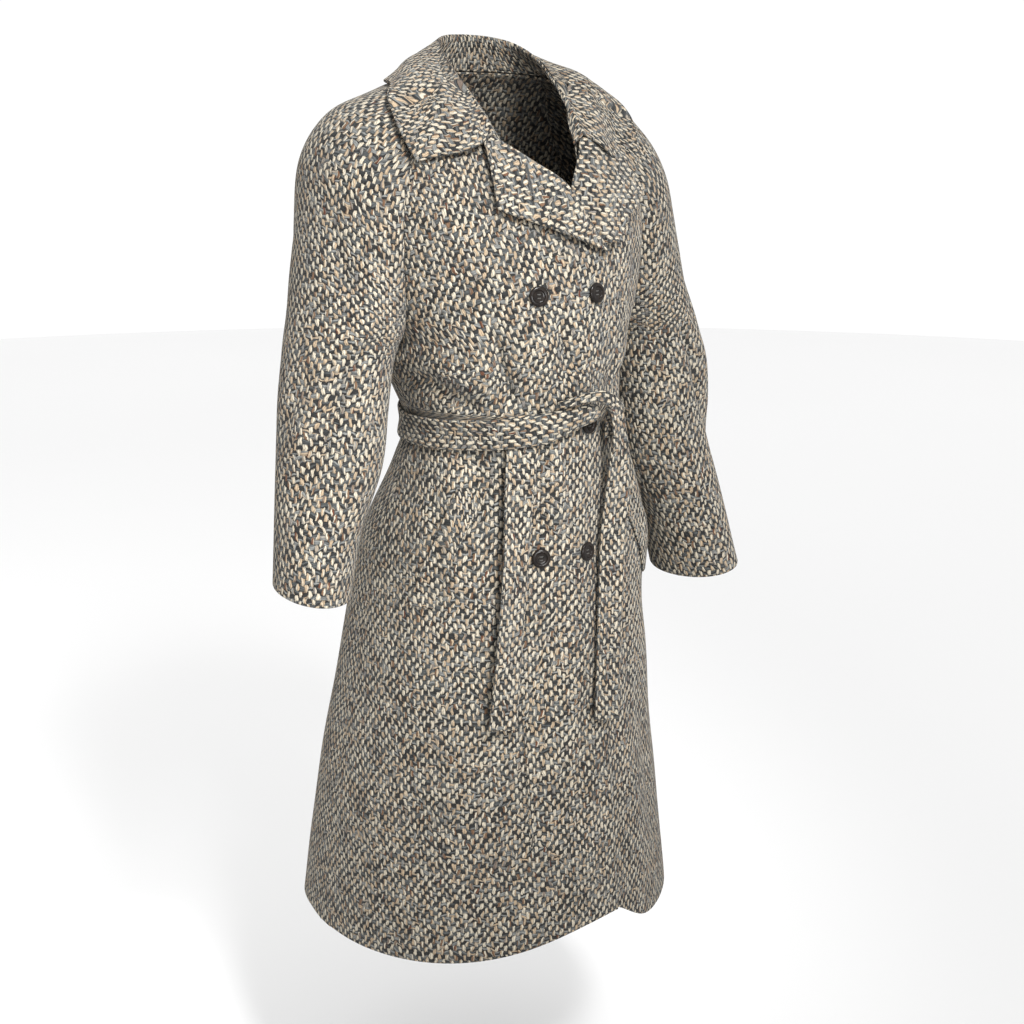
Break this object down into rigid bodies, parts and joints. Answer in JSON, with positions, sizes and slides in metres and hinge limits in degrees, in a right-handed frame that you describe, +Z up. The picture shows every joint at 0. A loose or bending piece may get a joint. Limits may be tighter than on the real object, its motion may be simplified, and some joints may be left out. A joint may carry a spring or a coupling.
{
  "type": "belted coat",
  "caption": "Long double-breasted tweed coat with raglan sleeves, wide notched collar, slanted welt pockets and a tied belt, hollow and open as when worn.",
  "frame": {"origin": "midway between the shoulders, at the height of the neck seam, where the wearer's shoulders carry the coat", "axes": "+Z up, the wearer faces -Y, the wearer's left is +X"},
  "size_m": [0.69, 0.4952, 1.1917],
  "materials": {
    "tweed": "bulky plain-weave wool tweed, cream and tan on charcoal and slate",
    "belt_tweed": "the same tweed, woven along the belt",
    "horn": "dark, polished, horn-like"
  },
  "bodies": {
    "root": {"front_right_top": "tweed", "front_right_skirt": "tweed", "front_left_top": "tweed", "front_left_skirt": "tweed", "back_right_top": "tweed", "back_right_skirt": "tweed", "back_left_top": "tweed", "back_left_skirt": "tweed", "sleeve_right": "tweed", "sleeve_left": "tweed", "collar": "tweed", "lapel_right": "tweed", "lapel_left": "tweed", "pocket_welt_right": "tweed", "pocket_welt_left": "tweed", "belt_band": "belt_tweed", "belt_knot": "belt_tweed", "belt_end_right": "belt_tweed", "belt_end_left": "belt_tweed", "button_top_right": "horn", "button_top_left": "horn", "button_middle_right": "horn", "button_middle_left": "horn", "button_bottom_right": "horn", "button_bottom_left": "horn"}
  },
  "joints": []
}
